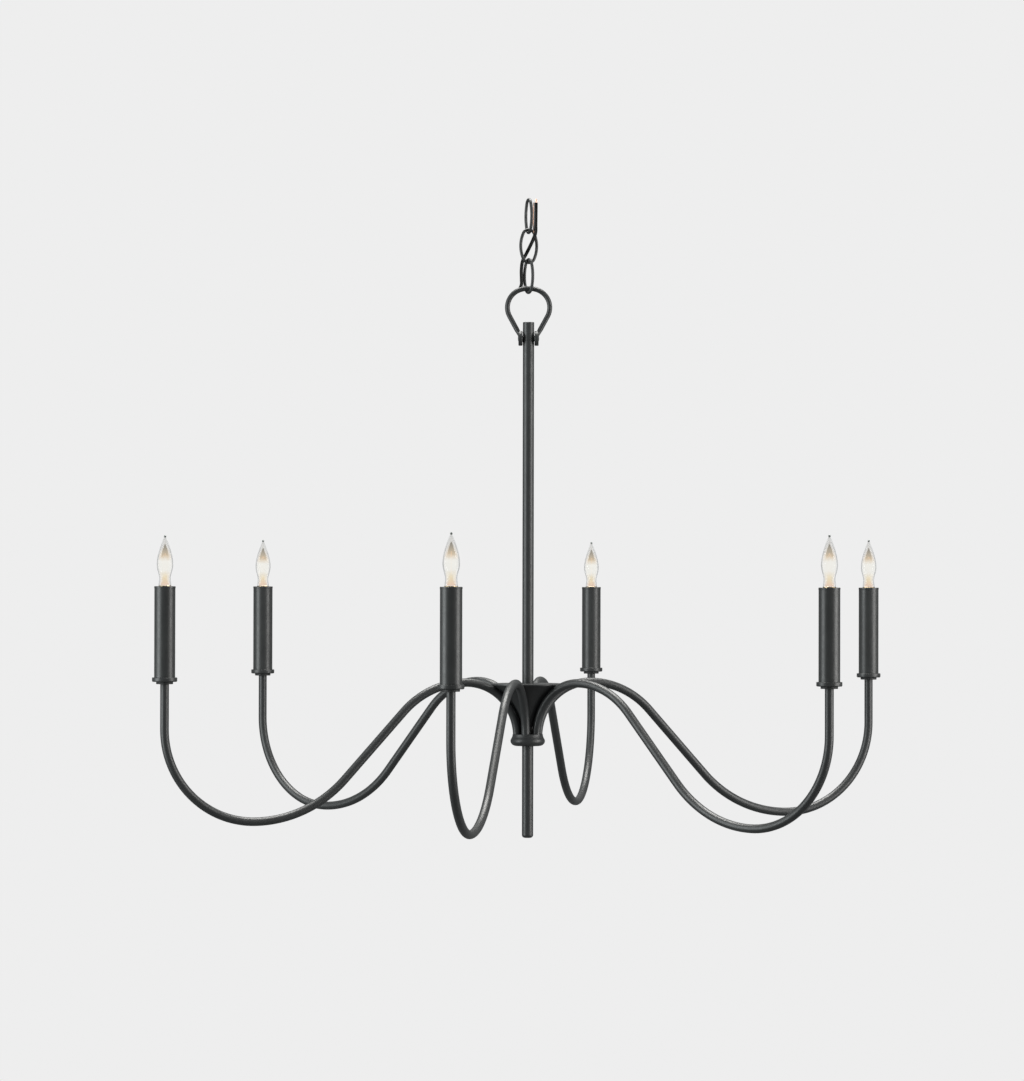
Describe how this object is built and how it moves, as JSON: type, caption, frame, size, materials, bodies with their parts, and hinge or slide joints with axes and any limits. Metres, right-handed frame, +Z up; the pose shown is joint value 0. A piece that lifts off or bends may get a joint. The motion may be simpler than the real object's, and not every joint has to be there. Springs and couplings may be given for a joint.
{
  "type": "multi arm chandelier",
  "caption": "Candle chandelier: curved tubular arms sweep from a stem and trumpet hub up to candle sleeves with clear flame bulbs, hung by a bail and short chain.",
  "frame": {"origin": "the inner top of the top chain link, at the point that rests on the ceiling hook", "axes": "+Z up along the stem and chain; X across the bail, between its two legs; -Y towards the front"},
  "size_m": [0.8166, 0.8488, 0.7185],
  "materials": {
    "chain_iron": "matte charcoal black paint",
    "frame_black": "matte charcoal black paint",
    "sleeve_black": "soft satin charcoal black paint",
    "zinc": "zinc plated",
    "socket_black": "moulded black phenolic",
    "brass": "rolled brass",
    "clear_glass": "clear",
    "wire_insulation": "clear gold insulation",
    "connector": "moulded off-white",
    "bushing_rubber": "matte black",
    "cord_jacket": "black insulation",
    "bare_copper": "bare copper"
  },
  "bodies": {
    "top_link": {"top_link": "chain_iron"},
    "middle_link": {"middle_link": "chain_iron"},
    "bottom_link": {"bottom_link": "chain_iron"},
    "bail": {"bail": "chain_iron", "bail_pin": "frame_black"},
    "fixture": {"stem_tube": "frame_black", "hub_plate": "frame_black", "hub_nut": "zinc", "hub_funnel": "frame_black", "hub_collar": "frame_black", "tail_rod": "frame_black", "arm_1": "frame_black", "arm_2": "frame_black", "arm_3": "frame_black", "arm_4": "frame_black", "arm_5": "frame_black", "arm_6": "frame_black", "seat_rings": "frame_black", "cup_1": "frame_black", "cup_2": "frame_black", "cup_3": "frame_black", "cup_4": "frame_black", "cup_5": "frame_black", "cup_6": "frame_black", "cup_nuts": "zinc", "candle_tubes": "zinc", "socket_1": "socket_black", "socket_2": "socket_black", "socket_3": "socket_black", "socket_4": "socket_black", "socket_5": "socket_black", "socket_6": "socket_black", "socket_shells": "brass", "socket_contacts": "brass", "arm_wires": "wire_insulation", "junction_block": "connector", "cord_bushing": "bushing_rubber", "supply_cord": "cord_jacket", "ground_wire": "bare_copper"},
    "sleeve_1": {"sleeve_1": "sleeve_black"},
    "sleeve_2": {"sleeve_2": "sleeve_black"},
    "sleeve_3": {"sleeve_3": "sleeve_black"},
    "sleeve_4": {"sleeve_4": "sleeve_black"},
    "sleeve_5": {"sleeve_5": "sleeve_black"},
    "sleeve_6": {"sleeve_6": "sleeve_black"},
    "bulb_1": {"bulb_cap_1": "brass", "bulb_glass_1": "clear_glass"},
    "bulb_2": {"bulb_cap_2": "brass", "bulb_glass_2": "clear_glass"},
    "bulb_3": {"bulb_cap_3": "brass", "bulb_glass_3": "clear_glass"},
    "bulb_4": {"bulb_cap_4": "brass", "bulb_glass_4": "clear_glass"},
    "bulb_5": {"bulb_cap_5": "brass", "bulb_glass_5": "clear_glass"},
    "bulb_6": {"bulb_cap_6": "brass", "bulb_glass_6": "clear_glass"}
  },
  "joints": [
    {"name": "middle_link_swing", "type": "hinge", "parent": "top_link", "child": "middle_link", "pos_m": [0, 0, -0.0356], "axis": [-0.342, 0.9397, 0], "range_deg": [-35, 35], "deforming": ["supply_cord", "ground_wire"]},
    {"name": "bottom_link_swing", "type": "hinge", "parent": "middle_link", "child": "bottom_link", "pos_m": [0, 0, -0.0693], "axis": [0.9397, 0.342, 0], "range_deg": [-35, 35], "deforming": ["supply_cord", "ground_wire"]},
    {"name": "bail_swing", "type": "hinge", "parent": "bottom_link", "child": "bail", "pos_m": [0, 0, -0.103], "axis": [-0.4848, 0.8746, 0], "range_deg": [-35, 35], "deforming": ["supply_cord", "ground_wire"]},
    {"name": "stem_tilt", "type": "hinge", "parent": "bail", "child": "fixture", "pos_m": [0, 0, -0.15451], "axis": [1, 0, 0], "range_deg": [-45, 45], "deforming": ["supply_cord", "ground_wire"]},
    {"name": "sleeve_1_lift", "type": "slide", "parent": "fixture", "child": "sleeve_1", "axis": [0, 0, 1], "range_m": [0, 0.16]},
    {"name": "sleeve_2_lift", "type": "slide", "parent": "fixture", "child": "sleeve_2", "axis": [0, 0, 1], "range_m": [0, 0.16]},
    {"name": "sleeve_3_lift", "type": "slide", "parent": "fixture", "child": "sleeve_3", "axis": [0, 0, 1], "range_m": [0, 0.16]},
    {"name": "sleeve_4_lift", "type": "slide", "parent": "fixture", "child": "sleeve_4", "axis": [0, 0, 1], "range_m": [0, 0.16]},
    {"name": "sleeve_5_lift", "type": "slide", "parent": "fixture", "child": "sleeve_5", "axis": [0, 0, 1], "range_m": [0, 0.16]},
    {"name": "sleeve_6_lift", "type": "slide", "parent": "fixture", "child": "sleeve_6", "axis": [0, 0, 1], "range_m": [0, 0.16]},
    {"name": "bulb_1_lift", "type": "slide", "parent": "fixture", "child": "bulb_1", "axis": [0, 0, 1], "range_m": [0, 0.03]},
    {"name": "bulb_2_lift", "type": "slide", "parent": "fixture", "child": "bulb_2", "axis": [0, 0, 1], "range_m": [0, 0.03]},
    {"name": "bulb_3_lift", "type": "slide", "parent": "fixture", "child": "bulb_3", "axis": [0, 0, 1], "range_m": [0, 0.03]},
    {"name": "bulb_4_lift", "type": "slide", "parent": "fixture", "child": "bulb_4", "axis": [0, 0, 1], "range_m": [0, 0.03]},
    {"name": "bulb_5_lift", "type": "slide", "parent": "fixture", "child": "bulb_5", "axis": [0, 0, 1], "range_m": [0, 0.03]},
    {"name": "bulb_6_lift", "type": "slide", "parent": "fixture", "child": "bulb_6", "axis": [0, 0, 1], "range_m": [0, 0.03]}
  ]
}
